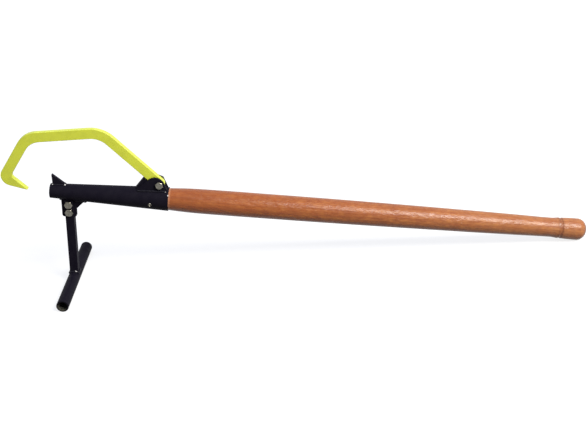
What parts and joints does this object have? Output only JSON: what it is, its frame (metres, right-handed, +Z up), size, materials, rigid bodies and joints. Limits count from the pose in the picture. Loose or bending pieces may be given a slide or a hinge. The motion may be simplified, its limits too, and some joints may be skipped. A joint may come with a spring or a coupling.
{
  "type": "log lifter",
  "caption": "Long-handled log lifter: turned wooden lever in a tapered steel socket with a spiked tooth, a swinging plate hook and a bolted T-shaped stand.",
  "frame": {"origin": "floor level, under the middle of the tool's bounding box, as it stands on its cross tube and butt", "axes": "+X along the tool from the hook end to the handle's butt, +Y across it towards the side of the nuts, +Z up"},
  "size_m": [1.2974, 0.28, 0.3675],
  "materials": {
    "handle_wood": "stained and varnished",
    "black_coating": "black satin powder coat on steel",
    "green_coating": "yellow-green powder coat on steel",
    "zinc_hardware": "zinc plated",
    "nylon": "natural nylon"
  },
  "bodies": {
    "lever": {"handle": "handle_wood", "socket": "black_coating", "handle_rivet": "zinc_hardware", "tooth": "black_coating", "tooth_weld": "black_coating", "near_ear": "black_coating", "near_ear_weld": "black_coating", "far_ear": "black_coating", "far_ear_weld": "black_coating", "hook_stop": "black_coating", "pivot_bolt": "zinc_hardware", "pivot_washer": "zinc_hardware", "pivot_nut": "zinc_hardware", "pivot_nut_insert": "nylon", "stand_tab": "black_coating", "stand_tab_weld": "black_coating", "upright": "black_coating", "upper_stand_bolt": "zinc_hardware", "upper_stand_washer": "zinc_hardware", "upper_stand_nut": "zinc_hardware", "lower_stand_bolt": "zinc_hardware", "lower_stand_washer": "zinc_hardware", "lower_stand_nut": "zinc_hardware", "cross_tube": "black_coating", "foot_weld": "black_coating"},
    "hook": {"hook": "green_coating"}
  },
  "joints": [
    {"name": "hook_swing", "type": "hinge", "parent": "lever", "child": "hook", "pos_m": [-0.30752, 0, 0.22548], "axis": [0, 1, 0], "range_deg": [0, 138]}
  ]
}
